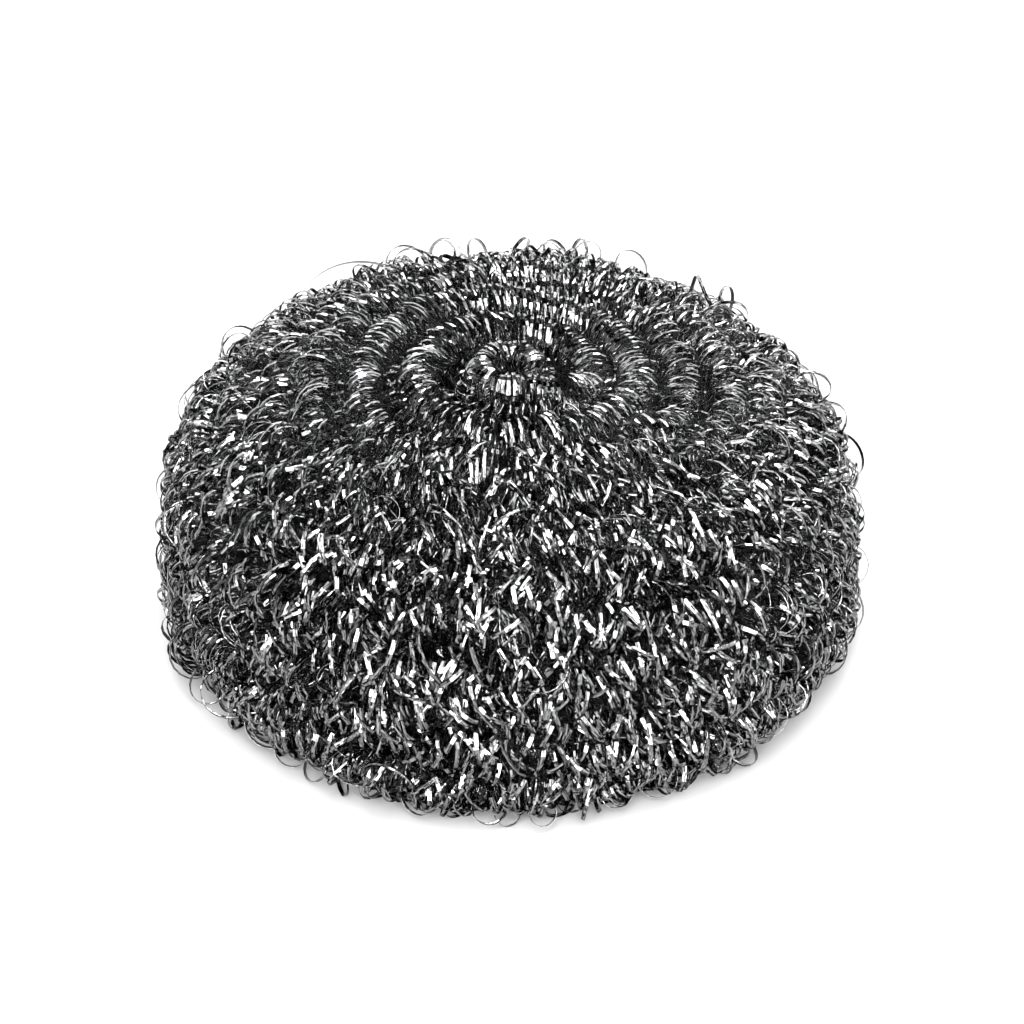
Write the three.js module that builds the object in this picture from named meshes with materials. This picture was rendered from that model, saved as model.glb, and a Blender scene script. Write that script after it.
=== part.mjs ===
// Stainless steel wool pad: one long strand of curled flat wire, wound turn upon turn into a squat bun.
// The wound strand is a single closed solid. Millimetres, +Z up, origin at the middle of the rest face.
import * as THREE from 'three';

// Overall form
const PAD_DIAMETER = 84;
const PAD_HEIGHT = 36;
const WIDEST_LEVEL = 5; // height of the widest turn above the rest face
const DOME_FULLNESS = 3.8; // exponent of the dome's outline: 2 is an ellipse, more is squarer
const FOOT_INSET = 6; // from the widest turn in to the flat underside
const SHOULDER_SLUMP = 1.5; // how far the +X shoulder has sagged

// Wound strand
const STRAND_PITCH = 5; // from one turn to the next, along the surface
const STRAND_RISE = 2.6; // crest of a turn above the valleys beside it
const CREST_ROUNDNESS = 0.55; // exponent of the strand's section: 1 is a sine, less is fuller
const FOOT_PRESS = 0.6; // how far the lowest turns are pressed flat by the pad's weight

// Gathers of curls along the strand, with an open gap between one and the next
const GATHER_LENGTH = 4.6;
const CROWN_GAP_DEPTH = 0.9; // gaps near the top eye, where the curls lie close
const SIDE_GAP_DEPTH = 2; // gaps on the sides, where they stand apart
const CROWN_TURNS = 2.5; // turns from the top eye whose curls all lie close
const LOOSE_TURNS = 7; // turns after which they stand fully apart

// Eyes in the middle of the top and of the underside, where the strand starts and ends
const EYE_DIAMETER = 4;
const EYE_DEPTH = 8;
const EYE_JOG = 0.2; // share of a turn in which the innermost ring steps out past its own start
const JOG_FADE = 4; // turns after which the ringed start has become an even spiral

// Facets
const COLUMNS_PER_GATHER = 2; // one in the middle of a gather and one in the gap after it
const ROWS_PER_STRAND = 4;
const OUTLINE_STEPS = 90;

// Surface of the wire
const WIRE_COLOUR = 0x8d8f92;
const WIRE_ROUGHNESS = 0.28;
const WIRE_METALNESS = 1;

// Half section of the bun through the valleys between turns, from the top eye round to the lower eye.
// Each point holds its radius, height and running length.
function bunOutline() {
  const radius = PAD_DIAMETER / 2 - STRAND_RISE;
  const dome = PAD_HEIGHT - STRAND_RISE - WIDEST_LEVEL;
  const sole = STRAND_RISE - FOOT_PRESS;
  const foot = radius - FOOT_INSET;
  const eye = EYE_DIAMETER / 2;
  const power = 2 / DOME_FULLNESS;
  const points = [];

  const eyeAngle = Math.acos((eye / radius) ** (1 / power));
  for (let i = 0; i <= OUTLINE_STEPS; i++) {
    const angle = eyeAngle * (1 - i / OUTLINE_STEPS);
    points.push({
      radius: radius * Math.cos(angle) ** power,
      height: WIDEST_LEVEL + dome * Math.sin(angle) ** power,
    });
  }
  for (let i = 1; i <= OUTLINE_STEPS; i++) {
    const angle = (Math.PI / 2) * (i / OUTLINE_STEPS);
    points.push({
      radius: foot + FOOT_INSET * Math.cos(angle),
      height: WIDEST_LEVEL - (WIDEST_LEVEL - sole) * Math.sin(angle),
    });
  }
  points.push({ radius: eye, height: sole });

  let length = 0;
  points.forEach((point, i) => {
    if (i > 0) {
      const before = points[i - 1];
      length += Math.hypot(point.radius - before.radius, point.height - before.height);
    }
    point.length = length;
  });
  return points;
}

// Point of the outline at a running length, with the outward normal there.
function outlineAt(outline, length) {
  let i = 1;
  while (i < outline.length - 1 && outline[i].length < length) i++;
  const a = outline[i - 1];
  const b = outline[i];
  const span = b.length - a.length;
  const share = (length - a.length) / span;
  return {
    radius: a.radius + share * (b.radius - a.radius),
    height: a.height + share * (b.height - a.height),
    normalOut: (a.height - b.height) / span,
    normalUp: (b.radius - a.radius) / span,
  };
}

// Smooth step from 0 to 1.
function easeIn(share) {
  const s = Math.min(1, Math.max(0, share));
  return s * s * (3 - 2 * s);
}

// How many pitches the strand's inner edge has moved out after a number of turns. The start is a ring
// that closes on itself and steps out at its end, which fades into an even spiral.
function windingAt(turn) {
  const whole = Math.floor(turn);
  const ringed = whole + easeIn((turn - whole - 1 + EYE_JOG) / EYE_JOG);
  return ringed + (turn - ringed) * easeIn(turn / JOG_FADE);
}

// Drop of the sagged shoulder at a place on the bun: most at the rim of the dome, on the +X side.
function slumpAt(angle, radius, height) {
  const lift = Math.max(0, (height - WIDEST_LEVEL) / (PAD_HEIGHT - WIDEST_LEVEL));
  const reach = radius / (PAD_DIAMETER / 2);
  return SHOULDER_SLUMP * lift * reach * (0.5 + 0.5 * Math.cos(angle));
}

// Depth of the gap between gathers at a turn. Gaps close again on the pressed underside.
function gapDepthAt(turn, normalUp) {
  const loose = easeIn((turn - CROWN_TURNS) / (LOOSE_TURNS - CROWN_TURNS));
  const depth = CROWN_GAP_DEPTH + loose * (SIDE_GAP_DEPTH - CROWN_GAP_DEPTH);
  return depth * Math.min(1, 1 + normalUp);
}

// Turns at which the strand has a column. Each turn holds a whole number of them, so that one stands
// on every full turn.
function columnTurns(outline, pitch, turns) {
  const places = [];
  for (let turn = 0; turn < turns; turn++) {
    const girth = 2 * Math.PI * outlineAt(outline, pitch * (turn + 1)).radius;
    const count = Math.round((COLUMNS_PER_GATHER * girth) / GATHER_LENGTH);
    for (let i = 0; i < count; i++) places.push(turn + i / count);
  }
  places.push(turns);
  return places;
}

// Triangles between two lines of points that run side by side, whatever their numbers of points.
function stitch(triangles, inner, outer) {
  let i = 0;
  let j = 0;
  while (i < inner.length - 1 || j < outer.length - 1) {
    const innerTurn = i < inner.length - 1 ? inner[i + 1].turn : Infinity;
    const outerTurn = j < outer.length - 1 ? outer[j + 1].turn : Infinity;
    const next = innerTurn <= outerTurn ? inner[i + 1] : outer[j + 1];
    triangles.push(inner[i].index, outer[j].index, next.index);
    if (innerTurn <= outerTurn) i++;
    else j++;
  }
}

// The strand is a set of lines along its run: the valley on its inner side and the rows across it. The
// valley on its outer side is the next turn's inner one, so the surface stays closed.
function woundStrand() {
  const outline = bunOutline();
  const run = outline[outline.length - 1].length;
  const turns = Math.round(run / STRAND_PITCH);
  const pitch = run / turns;
  const lastTurn = turns - 1;
  const positions = [];
  const triangles = [];

  function addPoint(turn, row, inGap) {
    const across = row / ROWS_PER_STRAND;
    const angle = 2 * Math.PI * turn;
    const inner = windingAt(turn);
    const place = outlineAt(outline, pitch * (inner + across * (windingAt(turn + 1) - inner)));
    const crest = STRAND_RISE - (inGap ? gapDepthAt(turn, place.normalUp) : 0);
    const rise = crest * Math.sin(Math.PI * across) ** CREST_ROUNDNESS;
    const radius = place.radius + rise * place.normalOut;
    const height = place.height + rise * place.normalUp - slumpAt(angle, place.radius, place.height);
    positions.push(radius * Math.cos(angle), radius * Math.sin(angle), Math.max(0, height));
    return { turn, index: positions.length / 3 - 1 };
  }

  const rows = [];
  for (let row = 0; row < ROWS_PER_STRAND; row++) rows.push([]);
  columnTurns(outline, pitch, turns).forEach((turn, column) => {
    const inGap = column % COLUMNS_PER_GATHER > 0;
    const rowsHere = turn <= lastTurn ? ROWS_PER_STRAND : 1; // past the last turn only the valley goes on
    for (let row = 0; row < rowsHere; row++) rows[row].push(addPoint(turn, row, inGap));
  });

  // A full turn on, each valley is the outer side of the strand
  const valley = rows[0];
  const inside = valley.filter((point) => point.turn <= lastTurn);
  const ahead = valley.filter((point) => point.turn >= 1);
  const outside = ahead.map(({ turn, index }) => ({ turn: turn - 1, index }));
  const lines = [inside, ...rows.slice(1), outside];
  for (let row = 0; row < ROWS_PER_STRAND; row++) stitch(triangles, lines[row], lines[row + 1]);

  // Blunt ends of the strand
  const start = lines.map((line) => line[0].index);
  const end = lines.map((line) => line[line.length - 1].index);
  for (let row = 1; row < ROWS_PER_STRAND; row++) {
    triangles.push(start[0], start[row + 1], start[row]);
    triangles.push(end[0], end[row], end[row + 1]);
  }

  // Eyes, each a funnel down to a point on the axis
  function addEye(height, rim) {
    const tip = positions.length / 3;
    positions.push(0, 0, height);
    rim.forEach((point, i) => triangles.push(tip, point.index, rim[(i + 1) % rim.length].index));
  }
  const topRim = valley.filter((point) => point.turn <= 1);
  const lowerRim = valley.filter((point) => point.turn >= lastTurn).reverse();
  addEye(outline[0].height - EYE_DEPTH, topRim);
  addEye(outline[outline.length - 1].height + EYE_DEPTH, lowerRim);

  const geometry = new THREE.BufferGeometry();
  geometry.setAttribute('position', new THREE.Float32BufferAttribute(positions, 3));
  geometry.setIndex(triangles);
  geometry.computeVertexNormals();
  return geometry;
}

const wire = new THREE.MeshStandardMaterial({
  color: WIRE_COLOUR,
  roughness: WIRE_ROUGHNESS,
  metalness: WIRE_METALNESS,
});

const woundPad = new THREE.Mesh(woundStrand(), wire);
woundPad.name = 'wound_wire_pad';

const group = new THREE.Group();
group.add(woundPad);

export default group;
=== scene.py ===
"""Dresses the stainless steel wool pad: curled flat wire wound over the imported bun, on a pale floor."""
import logging
import math
from dataclasses import dataclass, field
from enum import Enum

import bpy
import numpy as np
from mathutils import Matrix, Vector


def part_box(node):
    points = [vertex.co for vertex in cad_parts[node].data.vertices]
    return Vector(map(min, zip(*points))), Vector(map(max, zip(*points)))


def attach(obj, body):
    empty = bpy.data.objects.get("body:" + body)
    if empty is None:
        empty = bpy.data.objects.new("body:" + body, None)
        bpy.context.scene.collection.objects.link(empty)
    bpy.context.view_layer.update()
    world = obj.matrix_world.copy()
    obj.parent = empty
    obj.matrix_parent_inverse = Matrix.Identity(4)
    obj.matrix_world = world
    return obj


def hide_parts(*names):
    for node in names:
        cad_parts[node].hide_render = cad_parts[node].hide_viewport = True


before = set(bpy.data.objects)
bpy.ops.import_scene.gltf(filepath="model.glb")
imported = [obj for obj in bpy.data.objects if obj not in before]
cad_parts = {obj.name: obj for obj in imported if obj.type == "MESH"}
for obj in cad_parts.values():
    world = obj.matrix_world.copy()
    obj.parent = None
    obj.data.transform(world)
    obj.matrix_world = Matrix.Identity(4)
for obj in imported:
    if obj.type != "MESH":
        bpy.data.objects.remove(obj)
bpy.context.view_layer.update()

LOG = logging.getLogger("wool_pad")
MM = 0.001  # the wire is worked out in millimetres and laid down in metres
PAD_NODE = "wound_wire_pad"
PAD_BODY = "root"
RUN_MAP = "wire_run"  # millimetres along the wire and round its section
BAKE_MAP = "OFBake"  # the same wire laid out in rows that nowhere overlap
BAKE_EDGE = 0.002  # margin round the bake map
BAKE_SPAN = 0.996  # what the margins leave of it
ROW_GAP = 1.15  # rows of the bake map, as shares of the wire's girth
CAP_GAP = 1.2  # cut ends on the bake map, as shares of the wire's width
ROW_SPARE = 1.03  # spare length of a row
CAP_SHRINK = 0.01  # size of a cut end on the wire's own map
HELD_SHARE = 0.22  # share of a loop, on each side of its outermost point, over which its values are held
CHANGE_SHARE = 0.56  # share of a loop over which they change to the next loop's
WIRE_END = 1.001  # loops left off the end of a wire, so that every place on it has a next loop
STAND_RANGE = (0.4, 1.0)  # growth of the loops that stand out, as shares of the greatest
LOOP_LIMITS = (0.6, 1.8)  # least and greatest size of a loop, as shares of its style's
LEAN_LIMIT = 65.0  # degrees
TILT_LIMIT = 50.0  # degrees
SHORTEST_GATHER = 0.5  # least length of a gather, as a share of the usual one
COLUMNS_PER_GATHER = 2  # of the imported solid: one on a gather's crest and one in the gap after it
SEED_SPAN = 1000  # seeds kept for the wires of a pad
REGION_SEEDS = 10  # seeds kept for a region of the outer winding
INNER_SEEDS = 500  # first seed of the inner layers
LAMP_DISTANCE = 1.4  # of the small lights from the pad, in metres


def ease(share: np.ndarray) -> np.ndarray:
    """Smooth step from 0 to 1, which holds values outside them at the ends."""
    held = np.clip(share, 0.0, 1.0)
    return held * held * (3.0 - 2.0 * held)


def unit(vectors: np.ndarray) -> np.ndarray:
    """Vectors of length one, row by row."""
    return vectors / np.maximum(np.linalg.norm(vectors, axis=1, keepdims=True), 1e-12)


class Coil(Enum):
    """Which way a wire is curled round its strand."""

    LEFT_HANDED = -1.0
    RIGHT_HANDED = 1.0


class Region(Enum):
    """Stretches of the outer winding, named from the top eye down."""

    EYE = "eye_ring"
    CROWN = "crown_turns"
    SHOULDER = "shoulder_turns"
    FLANK = "flank_turns"
    RIM = "rim_turns"
    SOLE = "sole_turns"


class Draw(Enum):
    """Random values of a loop: the number of each, and how like its neighbour each loop is, from 0 to 1."""

    WAY = (0, 0.0)
    STAND = (1, 0.0)
    SIZE = (2, 0.6)
    SWAY = (3, 0.85)
    STAND_SIDE = (4, 0.0)
    TILT = (5, 0.5)
    ROAM = (6, 0.85)
    ACROSS = (7, 0.8)
    TWIST = (8, 0.5)
    JUMBLE = (9, 0.1)


@dataclass
class Knots:
    """Seeded random values for the loops of a wire, one for each.

    Attributes:
        seed: Seed of all the values.
        count: Number of loops.
    """

    seed: int
    count: int

    def wander(self, draw: Draw) -> np.ndarray:
        """Values of spread one that wander from loop to loop.

        Args:
            draw: Which of the wire's values this is.

        Returns:
            A value for each loop.
        """
        number, kin = draw.value
        fresh = np.random.default_rng([self.seed, number]).normal(size=self.count)
        rest = math.sqrt(1 - kin * kin)
        for i in range(1, self.count):
            fresh[i] = kin * fresh[i - 1] + rest * fresh[i]
        return fresh

    def chosen(self, draw: Draw, rate: float) -> np.ndarray:
        """Values drawn for a share of the loops, with 0 for the others."""
        rng = np.random.default_rng([self.seed, draw.value[0]])
        return np.where(rng.random(self.count) < rate, rng.uniform(*STAND_RANGE, self.count), 0.0)

    @staticmethod
    def held(values: np.ndarray, loops: np.ndarray) -> np.ndarray:
        """Loop values along the wire: held over each loop's outer half and changed over its inner half.

        Args:
            values: A value for each loop.
            loops: Places along the wire, counted in loops. Whole numbers are outermost.

        Returns:
            A value for each place.
        """
        low = np.floor(loops).astype(int)
        blend = ease((loops - low - HELD_SHARE) / CHANGE_SHARE)
        return values[low] * (1.0 - blend) + values[low + 1] * blend


@dataclass
class Bun:
    """The wound form that the strand follows, in millimetres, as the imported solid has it.

    Attributes:
        diameter: Across the widest turn.
        height: From the rest face to the crest of the top turns.
        widest_level: Height of the widest turn.
        dome_fullness: Exponent of the dome's outline.
        foot_inset: From the widest turn in to the flat underside.
        shoulder_slump: How far the +X shoulder has sagged.
        strand_pitch: From one turn to the next, along the surface.
        strand_rise: Crest of a turn above the valleys beside it.
        gather_length: From one gather of curls to the next, along the strand.
        foot_press: How far the lowest turns are pressed flat.
        eye_diameter: Small eye in the middle of the top.
        eye_jog: Share of a turn in which the innermost ring steps out.
        jog_fade: Turns after which the ringed start is an even spiral.
        even_span: Share of the pitch over which the outward direction is evened out, each way.
        outline_steps: Places worked out on each stretch of the half section.
    """

    diameter: float
    height: float
    widest_level: float = 5.0
    dome_fullness: float = 3.8
    foot_inset: float = 6.0
    shoulder_slump: float = 1.5
    strand_pitch: float = 5.0
    strand_rise: float = 2.6
    gather_length: float = 4.6
    foot_press: float = 0.6
    eye_diameter: float = 4.0
    eye_jog: float = 0.2
    jog_fade: float = 4.0
    even_span: float = 0.35
    outline_steps: int = 91
    runs: np.ndarray = field(init=False)
    radii: np.ndarray = field(init=False)
    heights: np.ndarray = field(init=False)
    turns: int = field(init=False)

    def __post_init__(self) -> None:
        """Works out the half section, from the top eye round to the lower one, and the number of turns."""
        radius = self.diameter / 2 - self.strand_rise
        dome = self.height - self.strand_rise - self.widest_level
        sole = self.strand_rise - self.foot_press
        eye = self.eye_diameter / 2
        power = 2 / self.dome_fullness
        down = np.linspace(1.0, 0.0, self.outline_steps) * math.acos((eye / radius) ** (1 / power))
        under = np.linspace(0.0, math.pi / 2, self.outline_steps)[1:]
        inward = np.linspace(radius - self.foot_inset, eye, self.outline_steps)[1:]
        self.radii = np.concatenate([
            radius * np.cos(down) ** power,
            radius - self.foot_inset * (1 - np.cos(under)),
            inward,
        ])
        self.heights = np.concatenate([
            self.widest_level + dome * np.sin(down) ** power,
            self.widest_level - (self.widest_level - sole) * np.sin(under),
            np.full(inward.shape, sole),
        ])
        steps = np.hypot(np.diff(self.radii), np.diff(self.heights))
        self.runs = np.concatenate([[0.0], np.cumsum(steps)])
        self.turns = round(self.runs[-1] / self.strand_pitch)

    def section(self, run: np.ndarray) -> tuple[np.ndarray, np.ndarray]:
        """Radius and height of the half section at lengths along it."""
        return np.interp(run, self.runs, self.radii), np.interp(run, self.runs, self.heights)

    def run_at_height(self, height: float) -> float:
        """Length along the half section, from the top eye, at which it comes down to a height."""
        return float(np.interp(-height, -self.heights, self.runs))

    def winding(self, turn: np.ndarray) -> np.ndarray:
        """How many pitches the strand's inner edge has moved out.

        Args:
            turn: Turns from the strand's start.

        Returns:
            Pitches moved, in steps near the ringed start and even after it.
        """
        whole = np.floor(turn)
        ringed = whole + ease((turn - whole - 1 + self.eye_jog) / self.eye_jog)
        return ringed + (turn - ringed) * ease(turn / self.jog_fade)

    def gather_turns(self) -> np.ndarray:
        """Turns at which the gathers of curls stand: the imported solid's columns outside the gaps.

        Returns:
            The turn of each gather's middle, from the strand's start.
        """
        columns = []
        for turn in range(self.turns):
            radius, _ = self.section((turn + 1) * self.runs[-1] / self.turns)
            count = round(COLUMNS_PER_GATHER * 2 * math.pi * radius / self.gather_length)
            columns.append(turn + np.arange(count) / count)
        return np.concatenate(columns)[::COLUMNS_PER_GATHER]

    def slump(self, angle: np.ndarray, radius: np.ndarray, height: np.ndarray) -> np.ndarray:
        """Drop of the sagged shoulder at places round the axis, of which the angle is in radians."""
        lift = np.maximum(0.0, (height - self.widest_level) / (self.height - self.widest_level))
        return self.shoulder_slump * lift * radius / (self.diameter / 2) * (0.5 + 0.5 * np.cos(angle))

    def surface(self, run: np.ndarray, angle: np.ndarray) -> tuple[np.ndarray, np.ndarray]:
        """Places on the form, through the valleys between turns.

        Args:
            run: Lengths along the half section, from the top eye.
            angle: Places round the axis, in radians.

        Returns:
            The places and the outward unit directions there.
        """
        run = np.clip(run, 0.0, self.runs[-1])
        span = self.even_span * self.strand_pitch
        radius, height = self.section(run)
        radius_ahead, height_ahead = self.section(run + span)
        radius_behind, height_behind = self.section(run - span)
        out, up = height_behind - height_ahead, radius_ahead - radius_behind
        drop = self.slump(angle, radius, height)
        places = np.stack([radius * np.cos(angle), radius * np.sin(angle), height - drop], axis=1)
        return places, unit(np.stack([out * np.cos(angle), out * np.sin(angle), up], axis=1))


@dataclass
class Strand:
    """One layer of the winding: the line round which the wire curls.

    Attributes:
        bun: The form it follows.
        depth: How far the line lies below the crest of the turns.
        shift: Pitches by which the layer is moved across its turns.
        samples: Places worked out on each turn.
    """

    bun: Bun
    depth: float
    shift: float = 0.0
    samples: int = 160
    places: np.ndarray = field(init=False)
    normals: np.ndarray = field(init=False)
    runs: np.ndarray = field(init=False)
    turn_at: np.ndarray = field(init=False)

    def __post_init__(self) -> None:
        """Works out the line and the outward direction all along it."""
        bun = self.bun
        turn = np.linspace(0.0, bun.turns - 1.0, self.samples * (bun.turns - 1))
        middle = 0.5 * (bun.winding(turn) + bun.winding(turn + 1)) + self.shift
        places, self.normals = bun.surface(middle * bun.runs[-1] / bun.turns, 2 * math.pi * turn)
        self.places = places + (bun.strand_rise - self.depth) * self.normals
        self.runs = np.concatenate([[0.0], np.cumsum(np.linalg.norm(np.diff(self.places, axis=0), axis=1))])
        self.turn_at = turn

    def run_of_turn(self, turn: float) -> float:
        """Length along the line at which a turn starts."""
        return float(np.interp(turn, self.turn_at, self.runs))

    def turn_of_run(self, run: np.ndarray) -> np.ndarray:
        """Turns from the start at lengths along the line."""
        return np.interp(run, self.runs, self.turn_at)

    def gathers(self, start: float, end: float) -> tuple[np.ndarray, np.ndarray]:
        """Gathers of curls along a stretch of the line.

        Args:
            start: Length along the line at which the stretch starts.
            end: Length at which it ends.

        Returns:
            The lengths of the gathers' middles, and how long each gather is.
        """
        middles = np.interp(self.bun.gather_turns(), self.turn_at, self.runs)
        lengths = np.gradient(middles)
        kept = (middles >= start) & (middles < end) & (lengths > SHORTEST_GATHER * self.bun.gather_length)
        return middles[kept], lengths[kept]

    def frame_at(self, run: np.ndarray) -> tuple[np.ndarray, np.ndarray, np.ndarray, np.ndarray]:
        """Places along the line with the directions there.

        Args:
            run: Lengths along the line.

        Returns:
            The places, and the unit directions along, outward and across.
        """
        def at(values: np.ndarray) -> np.ndarray:
            """Rows of values at the asked lengths."""
            return np.stack([np.interp(run, self.runs, values[:, i]) for i in range(3)], axis=1)

        along = unit(at(np.gradient(self.places, axis=0)))
        outward = at(self.normals)
        outward = unit(outward - along * np.sum(outward * along, axis=1, keepdims=True))
        return at(self.places), along, outward, np.cross(along, outward)


@dataclass(frozen=True)
class CurlStyle:
    """How a wire is curled round its strand. Pairs are for the tidy crown and for the unruly sides.

    Attributes:
        coil: Hand of the curl.
        diameter: Across a loop.
        spacing: From loop to loop along the strand.
        lean: Turn of the loops about the outward direction, in degrees.
        lean_spread: How much the lean wanders.
        tilt_spread: How much the loops tip along the strand.
        size_spread: Share by which the loops' size wanders.
        rise: How far the loops are lifted out of the strand.
        place_spread: How far the loops' middles wander in and out.
        across_spread: How far they wander across the strand.
        twist_spread: How much the flat wire turns on itself, in degrees.
        fan: Lean of the outermost loops of a gather, in degrees.
        gather: Share by which a gather is drawn together.
        stand_out: Share of the loops that stand out.
        stand_size: Share by which such a loop is larger.
        stand_share: Share of that growth that shows.
        stand_turn: Lean of such a loop for its growth, in degrees.
        stand_lift: Lift of such a loop, as a share of its growth.
        roam: Share of the place spread by which the loops wander.
        sink: Share of it by which they all lie deeper.
        eye_spacing: Share of the spacing that is left on the ring round the eye.
        eye_size: Share of the loops' size that is left there.
        eye_shift: How far that ring is drawn in towards the eye.
        eye_lift: Lift of that ring, as a share of the shift.
        eye_calm: Share of the wandering that is taken out there.
        tidy_turns: Turns from the eye at which the winding starts to be unruly, and is fully so.
        front_loss: How many turns earlier it is so on the -Y side.
        segments: Straight steps in a loop.
    """

    coil: Coil
    diameter: tuple[float, float] = (4.7, 4.7)
    spacing: tuple[float, float] = (0.85, 0.95)
    lean: tuple[float, float] = (10.0, 14.0)
    lean_spread: tuple[float, float] = (9.0, 24.0)
    tilt_spread: tuple[float, float] = (6.0, 18.0)
    size_spread: tuple[float, float] = (0.08, 0.13)
    rise: tuple[float, float] = (0.0, -0.7)
    place_spread: tuple[float, float] = (0.35, 0.5)
    across_spread: tuple[float, float] = (0.3, 1.3)
    twist_spread: tuple[float, float] = (6.0, 14.0)
    fan: tuple[float, float] = (8.0, 26.0)
    gather: tuple[float, float] = (0.1, 0.35)
    stand_out: float = 0.04
    stand_size: float = 0.3
    stand_share: tuple[float, float] = (0.35, 1.0)
    stand_turn: float = 60.0
    stand_lift: float = 0.4
    roam: float = 0.7
    sink: float = 0.5
    eye_spacing: float = 0.95
    eye_size: float = 0.68
    eye_shift: float = 1.6
    eye_lift: float = 0.25
    eye_calm: float = 0.7
    tidy_turns: tuple[float, float] = (2.2, 6.2)
    front_loss: float = 2.4
    segments: int = 18


@dataclass
class WireLength:
    """One length of wire.

    Attributes:
        corners: Four corners of the section at each point, in order round it.
        face: Direction that the flat face looks in at each point.
        side: Direction across the flat face.
    """

    corners: np.ndarray
    face: np.ndarray
    side: np.ndarray


@dataclass(frozen=True)
class FlatWire:
    """Flat rolled wire.

    Attributes:
        width: Across its flat face.
        thickness: Through it.
        crown: How far the flat face falls away at its edges, in degrees.
    """

    width: float = 0.45
    thickness: float = 0.05
    crown: float = 11.0

    @property
    def girth(self) -> float:
        """Distance round the section."""
        return 2 * (self.width + self.thickness)

    def sweep(self, line: np.ndarray, outward: np.ndarray, twist: np.ndarray) -> WireLength:
        """Lays the wire along a line, above the rest face.

        Args:
            line: Points along the middle of the wire.
            outward: Direction that the flat face looks in at each point.
            twist: Turn of the wire about its own line, in radians.

        Returns:
            The length of wire.
        """
        along = unit(np.gradient(line, axis=0))
        face = unit(outward - along * np.sum(outward * along, axis=1, keepdims=True))
        side = np.cross(along, face)
        turn_cos = np.cos(twist)[:, None]
        turn_sin = np.sin(twist)[:, None]
        face, side = face * turn_cos + side * turn_sin, side * turn_cos - face * turn_sin
        half_face = face * self.thickness / 2
        half_side = side * self.width / 2
        corners = np.stack([line + half_side + half_face, line - half_side + half_face,
                            line - half_side - half_face, line + half_side - half_face], axis=1)
        corners[:, :, 2] = np.maximum(corners[:, :, 2], 0.0)
        return WireLength(corners, face, side)

    def corner_normals(self, length: WireLength) -> np.ndarray:
        """Shading normals of a length's side faces, which give its flat faces a slight crown.

        Args:
            length: The length of wire.

        Returns:
            A normal for each corner of each face, in the faces' own order.
        """
        flat = math.cos(math.radians(self.crown)) * length.face
        edge = math.sin(math.radians(self.crown)) * length.side
        starts = np.stack([flat + edge, -length.side, -flat - edge, length.side], axis=1)
        ends = np.stack([flat - edge, -length.side, edge - flat, length.side], axis=1)
        return np.stack([starts[:-1], starts[1:], ends[1:], ends[:-1]], axis=2)


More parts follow.
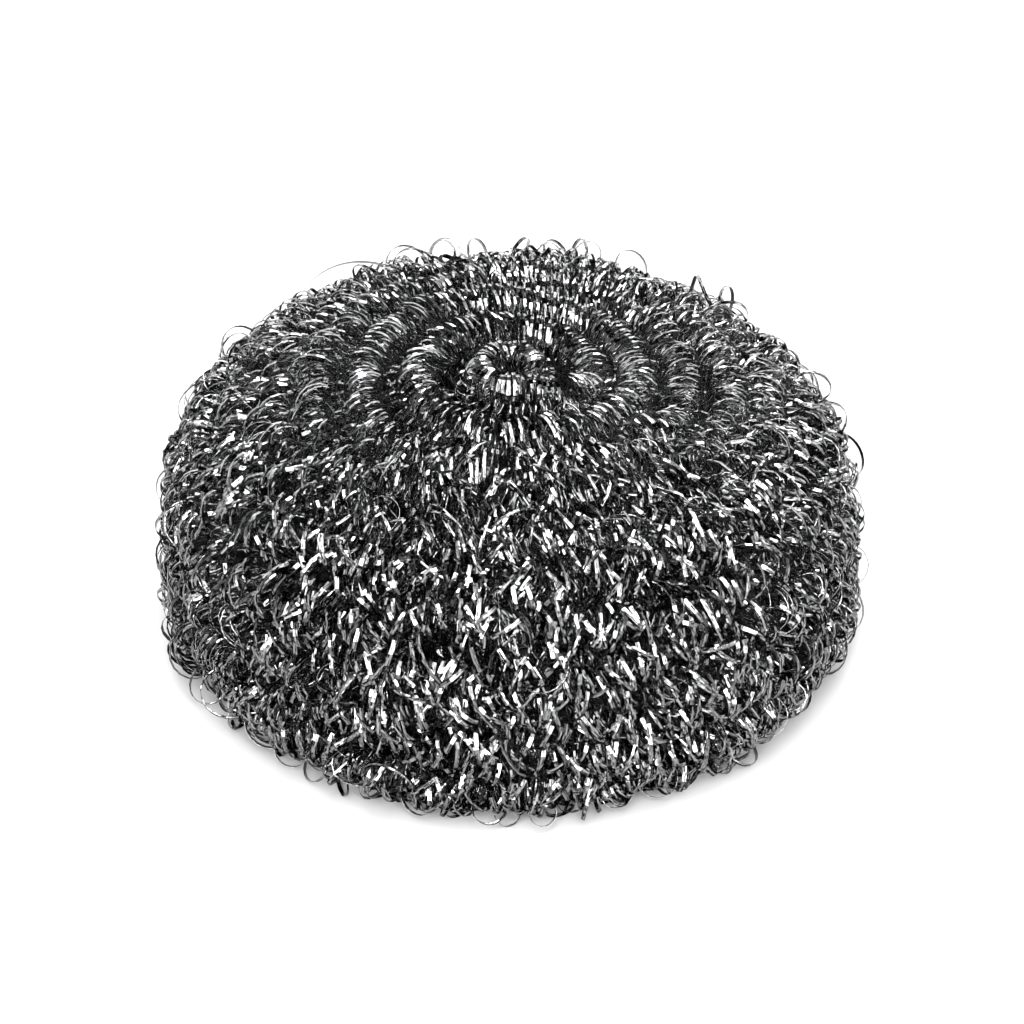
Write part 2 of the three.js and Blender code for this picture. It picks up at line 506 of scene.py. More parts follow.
@dataclass
class WireLengths:
    """Lengths of wire that are gathered up and made into one piece.

    Attributes:
        name: Name of the piece.
        wire: Section of the wire.
        lengths: The lengths of wire.
    """

    name: str
    wire: FlatWire
    lengths: list[WireLength] = field(default_factory=list)

    def triangles(self) -> int:
        """Number of triangles: eight for each step along a length, and four for its two cut ends."""
        return sum(8 * (len(length.corners) - 1) + 4 for length in self.lengths)

    def build(self) -> bpy.types.Object:
        """Makes the closed mesh, with its shading normals, its wire map and its bake map.

        Returns:
            The new object, at the origin.
        """
        width, thickness = self.wire.width, self.wire.thickness
        offsets = np.array([0.0, width, width + thickness, 2 * width + thickness, self.wire.girth])
        sides = np.arange(4)
        after = (sides + 1) % 4
        quads, runs, girths, normals = [], [], [], []
        caps, cap_runs, cap_normals = [], [], []
        start, run = 0, 0.0
        for length in self.lengths:
            count = len(length.corners)
            steps = np.diff(length.corners.mean(axis=1), axis=0)
            reach = run + np.concatenate([[0.0], np.cumsum(np.linalg.norm(steps, axis=1))])
            ring = start + 4 * np.arange(count - 1)[:, None]
            quads.append(np.stack([ring + sides, ring + 4 + sides, ring + 4 + after, ring + after], axis=2))
            near = np.broadcast_to(reach[:-1, None], (count - 1, 4))
            far = np.broadcast_to(reach[1:, None], (count - 1, 4))
            runs.append(np.stack([near, far, far, near], axis=2))
            low = np.broadcast_to(offsets[:4], (count - 1, 4))
            high = np.broadcast_to(offsets[1:], (count - 1, 4))
            girths.append(np.stack([low, low, high, high], axis=2))
            normals.append(self.wire.corner_normals(length))
            last = start + 4 * (count - 1)
            caps += [[start, start + 1, start + 2, start + 3], [last + 3, last + 2, last + 1, last]]
            cap_runs += [reach[0], reach[-1]]
            cap_normals += [unit(-steps[:1]), unit(steps[-1:])]
            start += 4 * count
            run = reach[-1] + width
        faces = np.concatenate([q.reshape(-1, 4) for q in quads] + [np.array(caps)])
        mesh = bpy.data.meshes.new(self.name)
        points = np.concatenate([length.corners.reshape(-1, 3) for length in self.lengths]) * MM
        mesh.vertices.add(len(points))
        mesh.vertices.foreach_set("co", points.astype(np.float32).ravel())
        mesh.loops.add(faces.size)
        mesh.loops.foreach_set("vertex_index", faces.astype(np.int32).ravel())
        mesh.polygons.add(len(faces))
        mesh.polygons.foreach_set("loop_start", np.arange(0, faces.size, 4, dtype=np.int32))
        mesh.update(calc_edges=True)
        shading = mesh.attributes.new("custom_normal", "FLOAT_VECTOR", "CORNER")
        cap_shading = np.repeat(np.concatenate(cap_normals), 4, axis=0)
        whole = np.concatenate([n.reshape(-1, 3) for n in normals] + [cap_shading])
        shading.data.foreach_set("vector", whole.astype(np.float32).ravel())
        along = np.concatenate([r.reshape(-1, 4) for r in runs])
        round_section = np.concatenate([g.reshape(-1, 4) for g in girths])
        self.lay_maps(mesh, along, round_section, np.array(cap_runs), run)
        mesh.update()
        piece = bpy.data.objects.new(self.name, mesh)
        bpy.context.scene.collection.objects.link(piece)
        return piece

    def lay_maps(self, mesh: bpy.types.Mesh, along: np.ndarray, section: np.ndarray,
                 cap_runs: np.ndarray, total: float) -> None:
        """Lays the wire's own map, and the bake map of wire cut into rows.

        Args:
            mesh: The wire's mesh.
            along: Length along the wire at each corner of the side faces.
            section: Distance round the section at each corner.
            cap_runs: Length along the wire at each cut end.
            total: Length of all the wire.
        """
        width = self.wire.width
        cap_box = np.array([[0.0, 0.0], [width, 0.0], [width, width], [0.0, width]])
        cap_places = np.stack([cap_runs, np.zeros(len(cap_runs))], axis=1)
        wire_uv = np.stack([along, section], axis=2).reshape(-1, 2)
        cap_uv = (cap_places[:, None, :] + CAP_SHRINK * cap_box).reshape(-1, 2)
        run_layer = mesh.uv_layers.new(name=RUN_MAP)
        run_layer.data.foreach_set("uv", np.concatenate([wire_uv, cap_uv]).astype(np.float32).ravel())

        row_height = self.wire.girth * ROW_GAP
        cap_step = width * CAP_GAP
        row_length = math.sqrt((total + cap_step * len(cap_runs)) * row_height) * ROW_SPARE
        row = np.floor(along[:, :1] / row_length)
        cap_row = np.ceil(total / row_length) + 1
        cap_index = np.arange(len(cap_runs))
        caps_each = max(1, int(row_length / cap_step))
        cap_u = (cap_index % caps_each) * cap_step
        cap_v = (cap_row + cap_index // caps_each) * row_height
        bake_wire = np.stack([along - row * row_length, section + row * row_height], axis=2).reshape(-1, 2)
        bake_caps = (np.stack([cap_u, cap_v], axis=1)[:, None, :] + cap_box).reshape(-1, 2)
        bake = np.concatenate([bake_wire, bake_caps])
        bake = BAKE_EDGE + BAKE_SPAN * bake / bake.max()
        bake_layer = mesh.uv_layers.new(name=BAKE_MAP)
        bake_layer.data.foreach_set("uv", bake.astype(np.float32).ravel())
        mesh.uv_layers[RUN_MAP].active = True
        mesh.uv_layers[RUN_MAP].active_render = True


@dataclass
class CurledWire:
    """A wire curled round a stretch of a strand.

    Attributes:
        strand: The line it curls round.
        style: How it curls.
        wire: Its section.
        seed: Seed of its wandering.
    """

    strand: Strand
    style: CurlStyle
    wire: FlatWire
    seed: int

    def between(self, pair: tuple[float, float], wild: np.ndarray) -> np.ndarray:
        """Value of a style pair where the winding is more or less unruly."""
        return pair[0] + (pair[1] - pair[0]) * wild

    def wildness(self, run: np.ndarray) -> np.ndarray:
        """How unruly the winding is, from 0 on the crown to 1 on the sides and underside.

        Args:
            run: Lengths along the strand.

        Returns:
            A share for each length.
        """
        turn = self.strand.turn_of_run(run)
        front = np.maximum(0.0, -np.sin(2 * math.pi * turn)) * ease(turn - 1.0)
        first, last = self.style.tidy_turns
        return ease((turn - first + self.style.front_loss * front) / (last - first))

    def loop_places(self, start: float, end: float) -> tuple[np.ndarray, np.ndarray]:
        """Places of the loops along a stretch of the strand.

        Args:
            start: Length at which the wire starts.
            end: Length at which it ends.

        Returns:
            The length of each loop's middle, and how far it fans out in its gather, from -1 to 1.
        """
        style = self.style
        middles, lengths = self.strand.gathers(start, end)
        wild = self.wildness(middles)
        tight = np.where(middles < self.strand.run_of_turn(1.0), style.eye_spacing, 1.0)
        counts = np.maximum(2, np.round(lengths / (tight * self.between(style.spacing, wild)))).astype(int)
        reach = 0.5 * lengths * (1 - self.between(style.gather, wild)) * (counts - 1) / counts
        places = np.concatenate([np.linspace(-1.0, 1.0, count) for count in counts])
        ways = np.clip(Knots(self.seed, len(counts)).wander(Draw.WAY), -1.0, 1.0)
        loop_runs = np.repeat(middles, counts) + np.repeat(reach, counts) * places
        return loop_runs, np.repeat(ways, counts) * places

    def length(self, start: float, end: float) -> WireLength:
        """Lays the wire along a stretch of its strand.

        Args:
            start: Length along the strand at which the wire starts.
            end: Length at which it ends.

        Returns:
            The length of wire.
        """
        style = self.style
        loop_runs, slants = self.loop_places(start, end)
        knots = Knots(self.seed, len(loop_runs))
        wild = self.wildness(loop_runs)
        loops = np.arange(0.0, knots.count - WIRE_END, 1.0 / style.segments)

        stand = style.stand_size * knots.chosen(Draw.STAND, style.stand_out)
        stand = stand * self.between(style.stand_share, wild)
        size = 1 + self.between(style.size_spread, wild) * knots.wander(Draw.SIZE)
        jog = self.strand.bun.eye_jog
        in_eye = 1 - ease(self.strand.turn_of_run(loop_runs) / jog - (1 / jog - 1))
        calm = 1 - style.eye_calm * in_eye
        size = np.clip(size + stand, *LOOP_LIMITS) * (1 - (1 - style.eye_size) * in_eye)
        radius = 0.5 * self.between(style.diameter, wild) * size
        lean = self.between(style.lean, wild) * style.coil.value + self.between(style.fan, wild) * slants
        sway, jumble = knots.wander(Draw.SWAY), knots.wander(Draw.JUMBLE)
        lean = lean + calm * self.between(style.lean_spread, wild) * (sway + (jumble - sway) * wild)
        lean = lean + style.stand_turn * stand * np.sign(knots.wander(Draw.STAND_SIDE))
        tilt = calm * self.between(style.tilt_spread, wild) * knots.wander(Draw.TILT)
        room = calm * self.between(style.place_spread, wild)
        swell = 0.5 * (self.between(style.diameter, wild) - style.diameter[0])
        out = room * (style.roam * knots.wander(Draw.ROAM) - style.sink) - swell
        out = out + style.stand_lift * radius * stand + self.between(style.rise, wild)
        eye_shrink = 0.5 * style.diameter[0] * (1 - style.eye_size)
        out = out + (eye_shrink + style.eye_lift * style.eye_shift) * in_eye
        over = calm * self.between(style.across_spread, wild) * knots.wander(Draw.ACROSS)
        over = over - style.eye_shift * in_eye
        twist = np.radians(self.between(style.twist_spread, wild) * knots.wander(Draw.TWIST))

        def held(values: np.ndarray) -> np.ndarray:
            """Loop values along the wire, as a column."""
            return knots.held(values, loops)[:, None]

        middle, along, outward, across = self.strand.frame_at(knots.held(loop_runs, loops))
        middle = middle + outward * held(out) + across * held(over)
        turn = (2 * math.pi * style.coil.value * loops)[:, None]
        lean = held(np.radians(np.clip(lean, -LEAN_LIMIT, LEAN_LIMIT)))
        tilt = held(np.radians(np.clip(tilt, -TILT_LIMIT, TILT_LIMIT)))
        standing = outward * np.cos(tilt) + along * np.sin(tilt)
        lying = across * np.cos(lean) + along * np.sin(lean)
        radial = standing * np.cos(turn) + lying * np.sin(turn)
        return self.wire.sweep(middle + radial * held(radius), radial, knots.held(twist, loops))


@dataclass(frozen=True)
class LooseCurl:
    """A single curl that stands out of the winding, with its ends tucked in.

    Attributes:
        run: Length along the half section at which it stands, in millimetres.
        bearing: Place round the axis, in degrees from +X.
        rise: How far it stands above the crest of the turns.
        radius: Its radius.
        heading: Turn of its plane about the outward direction, in degrees.
        tip: How far it leans over, in degrees.
        reach: Half of the arc that it covers, in degrees.
        drift: How far one end is moved sideways.
        fewest_steps: Least number of points on it.
        step_reach: Reach times radius for each point, where that gives more of them.
    """

    run: float
    bearing: float
    rise: float
    radius: float
    heading: float
    tip: float = 0.0
    reach: float = 125.0
    drift: float = 0.6
    fewest_steps: int = 12
    step_reach: float = 20.0

    def length(self, bun: Bun, wire: FlatWire) -> WireLength:
        """Lays the curl's wire.

        Args:
            bun: The form that it stands on.
            wire: Section of the wire.

        Returns:
            The length of wire.
        """
        place, outward = bun.surface(np.array([self.run]), np.array([math.radians(self.bearing)]))
        level = unit(np.cross(np.array([[0.0, 0.0, 1.0]]), outward) + np.array([[1e-6, 0.0, 0.0]]))
        rising = np.cross(outward, level)
        heading, tip = math.radians(self.heading), math.radians(self.tip)
        run_way = level * math.cos(heading) + rising * math.sin(heading)
        side_way = np.cross(outward, run_way)
        stand_way = outward * math.cos(tip) + side_way * math.sin(tip)
        flat_way = np.cross(stand_way, run_way)
        middle = place + outward * bun.strand_rise + stand_way * (self.rise - self.radius)
        steps = max(self.fewest_steps, int(self.reach * self.radius / self.step_reach))
        turn = np.radians(np.linspace(-self.reach, self.reach, steps))[:, None]
        radial = stand_way * np.cos(turn) + run_way * np.sin(turn)
        line = middle + radial * self.radius + flat_way * self.drift * turn / math.pi
        return wire.sweep(line, radial, np.zeros(steps))


@dataclass(frozen=True)
class CurlRange:
    """Ranges from which a kind of loose curl is drawn.

    Attributes:
        rise: How far the curls stand above the crest of the turns.
        radius: Their radius.
        reach: Half of the arc that they cover, in degrees.
        tip_spread: How much they lean over, in degrees.
        drift_spread: How far one end wanders sideways.
    """

    rise: tuple[float, float]
    radius: tuple[float, float]
    reach: tuple[float, float]
    tip_spread: float
    drift_spread: float = 0.0


@dataclass
class LooseCurls:
    """The curls that stand out of the winding.

    Attributes:
        bun: The form that they stand on.
        wire: Section of their wire.
        seed: Seed of the scattered ones.
        count: How many are scattered.
        small: Ranges of the scattered ones.
        inner_share: Share of the half section, next to the top eye, that has none of them, squared.
        arch: Ranges of the rear arches.
        arch_count: How many arches there are.
        arch_bearings: Where they start and end round the axis, in degrees.
        arch_runs: Where they stand along the half section.
        arch_headings: How far they turn from level, in degrees.
        bearing_spread: How far arches and rim loops wander round the axis, in degrees.
        rim: Ranges of the rim loops.
        rim_step: From one rim loop to the next, in degrees.
        rim_level: Their height, as a share of the widest turn's.
        rim_spread: How far they wander along the half section.
        rim_turn: How far they wander from level, in degrees.
    """

    bun: Bun
    wire: FlatWire
    seed: int
    count: int = 110
    small: CurlRange = CurlRange((0.2, 1.5), (1.7, 3.0), (95.0, 150.0), 25.0, 1.2)
    inner_share: float = 0.06
    arch: CurlRange = CurlRange((1.0, 2.4), (1.6, 2.5), (120.0, 150.0), 12.0)
    arch_count: int = 9
    arch_bearings: tuple[float, float] = (68.0, 104.0)
    arch_runs: tuple[float, float] = (33.0, 37.0)
    arch_headings: tuple[float, float] = (25.0, 65.0)
    bearing_spread: tuple[float, float] = (1.5, 1.2)
    rim: CurlRange = CurlRange((-0.2, 0.8), (1.5, 2.4), (100.0, 140.0), 15.0, 0.8)
    rim_step: float = 5.0
    rim_level: float = 0.55
    rim_spread: float = 0.8
    rim_turn: float = 22.0

    def scattered(self) -> list[LooseCurl]:
        """Small curls all over the pad, its underside too.

        Returns:
            The curls.
        """
        rng = np.random.default_rng(self.seed)
        curls = []
        for _ in range(self.count):
            radius = rng.uniform(*self.small.radius)
            curls.append(LooseCurl(
                run=self.bun.runs[-1] * math.sqrt(rng.uniform(self.inner_share, 1.0)),
                bearing=rng.uniform(0.0, 360.0),
                rise=rng.uniform(*self.small.rise),
                radius=radius,
                heading=rng.uniform(0.0, 180.0),
                tip=rng.normal(0.0, self.small.tip_spread),
                reach=rng.uniform(*self.small.reach),
                drift=rng.normal(0.0, self.small.drift_spread),
            ))
        return curls

    def rear_arches(self) -> list[LooseCurl]:
        """Taller curls along the rear shoulder, a long low arc beside them and a thin loop before the eye.

        Returns:
            The curls.
        """
        rng = np.random.default_rng(self.seed + 1)
        arches = []
        for bearing in np.linspace(*self.arch_bearings, self.arch_count):
            arches.append(LooseCurl(
                run=rng.uniform(*self.arch_runs),
                bearing=bearing + rng.normal(0.0, self.bearing_spread[0]),
                rise=rng.uniform(*self.arch.rise),
                radius=rng.uniform(*self.arch.radius),
                heading=rng.choice((-1.0, 1.0)) * rng.uniform(*self.arch_headings),
                tip=rng.normal(0.0, self.arch.tip_spread),
                reach=rng.uniform(*self.arch.reach),
            ))
        long_arc = LooseCurl(run=36.0, bearing=122.0, rise=1.6, radius=11.0, heading=6.0, reach=52.0)
        thin_loop = LooseCurl(run=9.0, bearing=-58.0, rise=0.6, radius=1.9, heading=0.0,
                              tip=50.0, reach=165.0)
        return arches + [long_arc, thin_loop]

    def rim_loops(self) -> list[LooseCurl]:
        """Loops that hang along the foot of the pad.

        Returns:
            The curls.
        """
        rng = np.random.default_rng(self.seed + 2)
        foot_run = self.bun.run_at_height(self.rim_level * self.bun.widest_level)
        loops = []
        for bearing in np.arange(0.0, 360.0, self.rim_step):
            loops.append(LooseCurl(
                run=foot_run + rng.normal(0.0, self.rim_spread),
                bearing=bearing + rng.normal(0.0, self.bearing_spread[1]),
                rise=rng.uniform(*self.rim.rise),
                radius=rng.uniform(*self.rim.radius),
                heading=rng.normal(0.0, self.rim_turn),
                tip=rng.normal(0.0, self.rim.tip_spread),
                reach=rng.uniform(*self.rim.reach),
                drift=rng.normal(0.0, self.rim.drift_spread),
            ))
        return loops

    def piece(self) -> WireLengths:
        """Gathers the curls into one piece.

        Returns:
            The gathering of wire.
        """
        gathered = WireLengths("loose_curls", self.wire)
        for curl in self.scattered() + self.rear_arches() + self.rim_loops():
            gathered.lengths.append(curl.length(self.bun, self.wire))
        return gathered


@dataclass(frozen=True)
class RolledSteel:
    """Finish of the bright rolled wire.

    Attributes:
        dark: Colour of the duller stretches.
        bright: Colour of the brighter stretches.
        rough_low: Roughness of the brightest stretches.
        rough_high: Roughness of the dullest.
        line_depth: Depth of the rolling lines, in metres.
        wave_share: How many times as deep the waves along the wire are.
        tone_scale: Scales of the tone's pattern, along and across for each millimetre, and its detail.
        polish_scale: Scales of the polish.
        line_scale: Scales of the rolling lines.
        wave_scale: Scales of the waves.
    """

    dark: tuple[float, float, float, float] = (0.315, 0.315, 0.318, 1.0)
    bright: tuple[float, float, float, float] = (0.39, 0.39, 0.394, 1.0)
    rough_low: float = 0.08
    rough_high: float = 0.16
    line_depth: float = 2e-6
    wave_share: float = 30.0
    tone_scale: tuple[float, float, float] = (0.11, 0.9, 1.0)
    polish_scale: tuple[float, float, float] = (0.3, 4.0, 0.0)
    line_scale: tuple[float, float, float] = (0.25, 22.0, 0.0)
    wave_scale: tuple[float, float, float] = (1.4, 0.6, 0.0)

    @staticmethod
    def along_wire() -> bpy.types.NodeTree:
        """Node group of a pattern drawn out along the wire.

        Returns:
            The group, with Along and Across as its scales for each millimetre.
        """
        tree = bpy.data.node_groups.new("drawn_along_wire", "ShaderNodeTree")
        for name, kind in (("Vector", "NodeSocketVector"), ("Along", "NodeSocketFloat"),
                           ("Across", "NodeSocketFloat"), ("Detail", "NodeSocketFloat")):
            tree.interface.new_socket(name, in_out="INPUT", socket_type=kind)
        tree.interface.new_socket("Value", in_out="OUTPUT", socket_type="NodeSocketFloat")
        enter = tree.nodes.new("NodeGroupInput")
        leave = tree.nodes.new("NodeGroupOutput")
        scales = tree.nodes.new("ShaderNodeCombineXYZ")
        stretch = tree.nodes.new("ShaderNodeVectorMath")
        stretch.operation = "MULTIPLY"
        noise = tree.nodes.new("ShaderNodeTexNoise")
        noise.noise_dimensions = "2D"
        noise.inputs["Scale"].default_value = 1.0
        spread = tree.nodes.new("ShaderNodeMapRange")
        spread.inputs["From Min"].default_value = 0.25
        spread.inputs["From Max"].default_value = 0.75
        tree.links.new(enter.outputs["Along"], scales.inputs["X"])
        tree.links.new(enter.outputs["Across"], scales.inputs["Y"])
        tree.links.new(enter.outputs["Vector"], stretch.inputs[0])
        tree.links.new(scales.outputs["Vector"], stretch.inputs[1])
        tree.links.new(stretch.outputs["Vector"], noise.inputs["Vector"])
        tree.links.new(enter.outputs["Detail"], noise.inputs["Detail"])
        tree.links.new(noise.outputs["Fac"], spread.inputs["Value"])
        tree.links.new(spread.outputs["Result"], leave.inputs["Value"])
        return tree

    def material(self) -> bpy.types.Material:
        """Makes the wire's material.

        Returns:
            The material, with its patterns on the wire's own map.
        """
        group = self.along_wire()
        steel = bpy.data.materials.new("rolled_stainless_wire")
        steel.use_nodes = True
        nodes, links = steel.node_tree.nodes, steel.node_tree.links
        shader = nodes["Principled BSDF"]
        shader.inputs["Metallic"].default_value = 1.0
        wire_map = nodes.new("ShaderNodeUVMap")
        wire_map.uv_map = RUN_MAP

        def pattern(scale: tuple[float, float, float]) -> bpy.types.NodeSocket:
            """Places a copy of the group with its own scales.

            Args:
                scale: Along, across and detail.

            Returns:
                The copy's output.
            """
            copy = nodes.new("ShaderNodeGroup")
            copy.node_tree = group
            for name, value in zip(("Along", "Across", "Detail"), scale):
                copy.inputs[name].default_value = value
            links.new(wire_map.outputs["UV"], copy.inputs["Vector"])
            return copy.outputs["Value"]

        tone = nodes.new("ShaderNodeMix")
        tone.data_type = "RGBA"
        tone.inputs["A"].default_value = self.dark
        tone.inputs["B"].default_value = self.bright
        links.new(pattern(self.tone_scale), tone.inputs["Factor"])
        links.new(tone.outputs["Result"], shader.inputs["Base Color"])
        polish = nodes.new("ShaderNodeMapRange")
        polish.inputs["To Min"].default_value = self.rough_low
        polish.inputs["To Max"].default_value = self.rough_high
        links.new(pattern(self.polish_scale), polish.inputs["Value"])
        links.new(polish.outputs["Result"], shader.inputs["Roughness"])
        lines = nodes.new("ShaderNodeBump")
        lines.inputs["Distance"].default_value = self.line_depth
        waves = nodes.new("ShaderNodeMath")
        waves.operation = "MULTIPLY_ADD"
        waves.inputs[1].default_value = self.wave_share
        links.new(pattern(self.wave_scale), waves.inputs[0])
        links.new(pattern(self.line_scale), waves.inputs[2])
        links.new(waves.outputs["Value"], lines.inputs["Height"])
        links.new(lines.outputs["Normal"], shader.inputs["Normal"])
        return steel


@dataclass(frozen=True)
class InnerLayer:
    """A layer of loops below the outer ones.

    Attributes:
        name: Name of its piece.
        depth: How far its strand lies below the crest of the turns.
        shift: Pitches by which it is moved across the turns.
        spacing: From loop to loop along it.
        segments: Straight steps in a loop.
        rise: How far its loops are lifted on the sides.
    """

    name: str
    depth: float
    shift: float
    spacing: float
    segments: int
    rise: float


@dataclass
class WoundPad:
    """The pad: layers of curled wire wound over the bun.

    Attributes:
        bun: The form of the winding.
        wire: Section of the wire.
        eye_wire: Section of the wire in the ring round the eye.
        crown_wire: Section of the wire on the crown.
        steel: Finish of the wire.
        seed: Seed of all its wandering.
        marks: Turns at which the regions of the outer winding start.
        under_drop: How far the second wire of the outer winding lies below the first.
        inner_start: Turn at which the inner layers start.
        layers: The inner layers.
    """

    bun: Bun
    wire: FlatWire
    eye_wire: FlatWire
    crown_wire: FlatWire
    steel: RolledSteel
    seed: int = 7
    marks: tuple[float, ...] = (0.0, 1.0, 5.5, 8.0, 10.3, 12.5)
    under_drop: float = 0.2
    inner_start: float = 0.5
    layers: tuple[InnerLayer, ...] = (
        InnerLayer("second_layer", depth=5.5, shift=0.5, spacing=1.9, segments=12, rise=1.6),
        InnerLayer("inner_layer", depth=9.5, shift=0.0, spacing=2.5, segments=10, rise=1.5),
    )

    def seed_of(self, number: int) -> int:
        """Seed of one of the pad's wires."""
        return self.seed * SEED_SPAN + number

    def regions(self, strand: Strand) -> dict[Region, tuple[float, float]]:
        """Start and end of each region, as lengths along the outer strand."""
        ends = [strand.run_of_turn(mark) for mark in (*self.marks, self.bun.turns - 1)]
        return {region: (ends[i], ends[i + 1]) for i, region in enumerate(Region)}

    def outer_pieces(self) -> list[WireLengths]:
        """Two wires round the outer strand, curled opposite ways on the sides, and cut into regions.

        Returns:
            One gathering of wire for each region.
        """
        first = CurlStyle(Coil.RIGHT_HANDED)
        nested = CurlStyle(Coil.RIGHT_HANDED, diameter=(3.7, 4.3), spacing=(1.6, 1.2), segments=14,
                           rise=(-0.7, -0.7), eye_size=0.8, eye_shift=0.0)
        crossing = CurlStyle(Coil.LEFT_HANDED, diameter=(4.4, 4.7), spacing=(1.2, 1.0))
        pressed = CurlStyle(Coil.RIGHT_HANDED, spacing=(2.0, 2.0), segments=12)
        outer = Strand(self.bun, depth=0.5 * first.diameter[0])
        lower = Strand(self.bun, depth=0.5 * first.diameter[0] + self.under_drop)
        share = lower.runs[-1] / outer.runs[-1]
        styles = {region: (first, crossing) for region in Region}
        styles[Region.EYE] = (first, nested)
        styles[Region.CROWN] = (CurlStyle(Coil.RIGHT_HANDED, spacing=(0.74, 0.84)), nested)
        styles[Region.SOLE] = (pressed, pressed)
        sections = {Region.EYE: self.eye_wire, Region.CROWN: self.crown_wire}
        pieces = []
        for number, (region, (start, end)) in enumerate(self.regions(outer).items()):
            section = sections.get(region, self.wire)
            piece = WireLengths(region.value, section)
            seed = self.seed_of(number * REGION_SEEDS)
            upper_style, lower_style = styles[region]
            piece.lengths.append(CurledWire(outer, upper_style, section, seed + 1).length(start, end))
            wire = CurledWire(lower, lower_style, section, seed + 2)
            piece.lengths.append(wire.length(start * share, end * share))
            pieces.append(piece)
        return pieces

    def inner_pieces(self) -> list[WireLengths]:
        """The layers below, which show through the outer loops.

        Returns:
            One gathering of wire for each layer.
        """
        pieces = []
        for number, layer in enumerate(self.layers):
            style = CurlStyle(Coil.RIGHT_HANDED, diameter=(5.2, 5.4), spacing=(layer.spacing, layer.spacing),
                              segments=layer.segments, lean_spread=(16.0, 20.0), place_spread=(0.6, 0.7),
                              across_spread=(0.6, 0.7), eye_spacing=1.0, eye_size=1.0, eye_shift=0.0,
                              rise=(0.0, layer.rise))
            strand = Strand(self.bun, depth=layer.depth, shift=layer.shift)
            piece = WireLengths(layer.name, self.wire)
            wire = CurledWire(strand, style, self.wire, self.seed_of(INNER_SEEDS + number))
            piece.lengths.append(wire.length(strand.run_of_turn(self.inner_start), strand.runs[-1]))
            pieces.append(piece)
        return pieces

    def build(self) -> None:
        """Makes every piece of the pad, dresses it and sets it on its body."""
        material = self.steel.material()
        loose = LooseCurls(self.bun, self.wire, self.seed).piece()
        for piece in self.outer_pieces() + self.inner_pieces() + [loose]:
            made = piece.build()
            made.data.materials.append(material)
            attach(made, PAD_BODY)
            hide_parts(PAD_NODE)
            LOG.info("%s: %d lengths, %d triangles", piece.name, len(piece.lengths), piece.triangles())


@dataclass(frozen=True)
class Panel:
    """A square-cornered light that looks at the pad, or a pair of them on both sides.

    Attributes:
        name: Name of the light.
        bearing: Its direction round the pad in degrees, from 0 on the camera's side, towards +X.
        height: Its direction above level, in degrees.
        spread: Its width and height as the pad sees them, in degrees.
        radiance: Its brightness.
        paired: Whether there is another on the other side.
        distance: From the pad, in metres.
    """

    name: str
    bearing: float
    height: float
    spread: tuple[float, float]
    radiance: float
    paired: bool = False
    distance: float = 1.5

    @classmethod
    def lamp(cls, name: str, bearing: float, height: float, size: float, radiance: float,
             paired: bool = True) -> "Panel":
        """A small square light that hangs a little nearer, with its size as the pad sees it, in degrees."""
        return cls(name, bearing, height, (size, size), radiance, paired, LAMP_DISTANCE)

    def hang(self, bearing: float) -> None:
        """Hangs one light.

        Args:
            bearing: Its direction round the pad in degrees.
        """
        turn, height = math.radians(bearing), math.radians(self.height)
        level = math.cos(height)
        way = Vector((level * math.sin(turn), -level * math.cos(turn), math.sin(height)))
        bpy.ops.object.light_add(type="AREA", location=self.distance * way)
        light = bpy.context.object
        light.name = self.name
        light.rotation_euler = (-way).to_track_quat("-Z", "Y").to_euler()
        light.data.shape = "RECTANGLE"
        light.data.size, light.data.size_y = (
            2 * self.distance * math.tan(math.radians(angle / 2)) for angle in self.spread)
        light.data.energy = self.radiance * math.pi * light.data.size * light.data.size_y

    def build(self) -> None:
        """Hangs the light, or both of the pair."""
        self.hang(self.bearing)
        if self.paired:
            self.hang(-self.bearing)


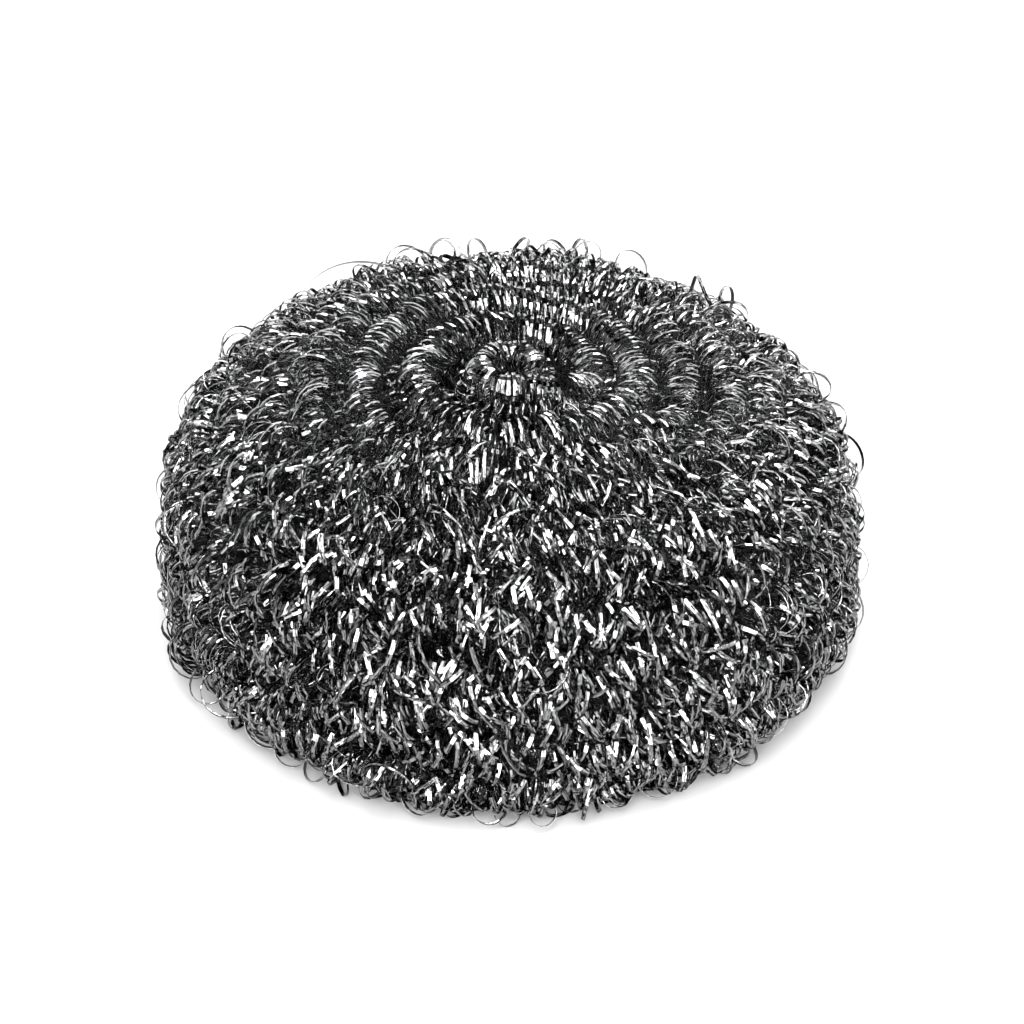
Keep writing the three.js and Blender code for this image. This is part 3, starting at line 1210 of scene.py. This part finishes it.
@dataclass
class Studio:
    """Pale floor, soft light and the camera at the photograph's angle. Lengths are in metres.

    Attributes:
        elevation: Camera's angle above level, in degrees.
        distance: From the camera to the point that it looks at.
        aim: That point.
        view_width: Width of the view at that point.
        sensor: Width of the camera's sensor, in millimetres.
        nearest: Nearest distance that the camera sees.
        floor_size: Side of the floor.
        floor_gap: How far the floor lies below the rest face.
        floor_shade: Paleness of the floor.
        room_light: Brightness of the room's even light.
        room_seen: Brightness of the ground behind, beyond the floor.
        panels: The lights.
    """

    elevation: float = 36.0
    distance: float = 0.42
    aim: tuple[float, float, float] = (0.0002, 0.0, 0.0146)
    view_width: float = 0.1199
    sensor: float = 36.0
    nearest: float = 0.01
    floor_size: float = 2.6
    floor_gap: float = 0.0001
    floor_shade: float = 0.46
    room_light: float = 0.1
    room_seen: float = 1.0
    panels: tuple[Panel, ...] = (
        Panel("front_fill", 0.0, 32.0, (110.0, 60.0), 1.25, distance=1.7),
        Panel("back_fill", 180.0, 45.0, (100.0, 50.0), 0.35, distance=1.7),
        Panel("back_sweep", 180.0, 10.0, (42.0, 20.0), 2.6),
        Panel("rear_side_sweep", 135.0, 10.0, (42.0, 20.0), 2.0, paired=True),
        Panel("upper_back_sweep", 180.0, 30.0, (38.0, 20.0), 2.2),
        Panel("upper_side_sweep", 135.0, 30.0, (38.0, 20.0), 2.0, paired=True),
        Panel("front_upper_panel", 0.0, 54.0, (45.0, 22.0), 2.2),
        Panel("ceiling", 0.0, 84.0, (36.0, 15.0), 5.0),
        Panel("front_panel", 0.0, 27.0, (24.0, 12.0), 8.5),
        Panel("front_strip", 0.0, 8.0, (28.0, 11.0), 9.5),
        Panel("corner_panel", 50.0, 28.0, (24.0, 16.0), 2.0, paired=True),
        Panel("corner_strip", 46.0, 8.0, (22.0, 9.0), 7.5, paired=True),
        Panel("side_strip", 92.0, 8.0, (24.0, 14.0), 0.7, paired=True),
        Panel("side_panel", 92.0, 36.0, (26.0, 22.0), 0.6, paired=True),
        Panel.lamp("back_lamp", 163.0, 33.0, 11.0, 15.0),
        Panel.lamp("rear_top_lamp", 150.0, 64.0, 13.0, 9.0),
        Panel.lamp("top_lamp", 32.0, 74.0, 13.0, 10.0),
        Panel.lamp("front_lamp", 17.0, 46.0, 17.0, 10.0),
        Panel.lamp("middle_lamp", 0.0, 63.0, 13.0, 9.0, paired=False),
        Panel.lamp("wide_lamp", 60.0, 48.0, 13.0, 3.0),
        Panel.lamp("corner_lamp", 34.0, 22.0, 15.0, 7.5),
    )

    def set_floor(self) -> None:
        """Lays the pale floor just under the rest face."""
        bpy.ops.object.select_all(action="DESELECT")
        bpy.ops.mesh.primitive_plane_add(size=self.floor_size, location=(0.0, 0.0, -self.floor_gap))
        floor = bpy.context.object
        floor.name = "studio_floor"
        paint = bpy.data.materials.new("pale_floor")
        paint.use_nodes = True
        shader = paint.node_tree.nodes["Principled BSDF"]
        shade = self.floor_shade
        shader.inputs["Base Color"].default_value = (shade, shade, shade, 1.0)
        shader.inputs["Roughness"].default_value = 0.9
        shader.inputs["Specular IOR Level"].default_value = 0.0
        floor.data.materials.append(paint)

    def set_light(self) -> None:
        """Sets the room's even light, which the wire doesn't mirror, and the panels that it does."""
        world = bpy.data.worlds.new("soft_room")
        bpy.context.scene.world = world
        world.use_nodes = True
        nodes, links = world.node_tree.nodes, world.node_tree.links
        background = nodes["Background"]
        background.inputs["Color"].default_value = (1.0, 1.0, 1.0, 1.0)
        path = nodes.new("ShaderNodeLightPath")
        strength = nodes.new("ShaderNodeMapRange")
        strength.inputs["To Min"].default_value = self.room_light
        strength.inputs["To Max"].default_value = self.room_seen
        links.new(path.outputs["Is Camera Ray"], strength.inputs["Value"])
        links.new(strength.outputs["Result"], background.inputs["Strength"])
        world.cycles_visibility.glossy = False
        for panel in self.panels:
            panel.build()

    def set_camera(self) -> None:
        """Sets the camera."""
        angle = math.radians(self.elevation)
        aim = Vector(self.aim)
        place = aim + self.distance * Vector((0.0, -math.cos(angle), math.sin(angle)))
        bpy.ops.object.camera_add(location=place)
        camera = bpy.context.object
        camera.rotation_euler = (aim - place).to_track_quat("-Z", "Y").to_euler()
        camera.data.sensor_width = self.sensor
        camera.data.lens = self.sensor * self.distance / self.view_width
        camera.data.clip_start = self.nearest
        bpy.context.scene.camera = camera

    def build(self) -> None:
        """Sets up the whole studio."""
        self.set_floor()
        self.set_light()
        self.set_camera()
        bpy.context.scene.view_settings.view_transform = "Standard"
        bpy.context.scene.view_settings.look = "Medium High Contrast"
        LOG.info("studio: camera %.0f degrees above level", self.elevation)


def main() -> None:
    """Builds the studio and the pad."""
    logging.basicConfig(level=logging.INFO, format="%(name)s %(message)s")
    low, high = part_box(PAD_NODE)
    bun = Bun(diameter=(high.x - low.x) / MM, height=high.z / MM)
    Studio().build()
    WoundPad(bun, FlatWire(), FlatWire(width=0.4), FlatWire(width=0.33), RolledSteel()).build()


if __name__ == "__main__":
    main()
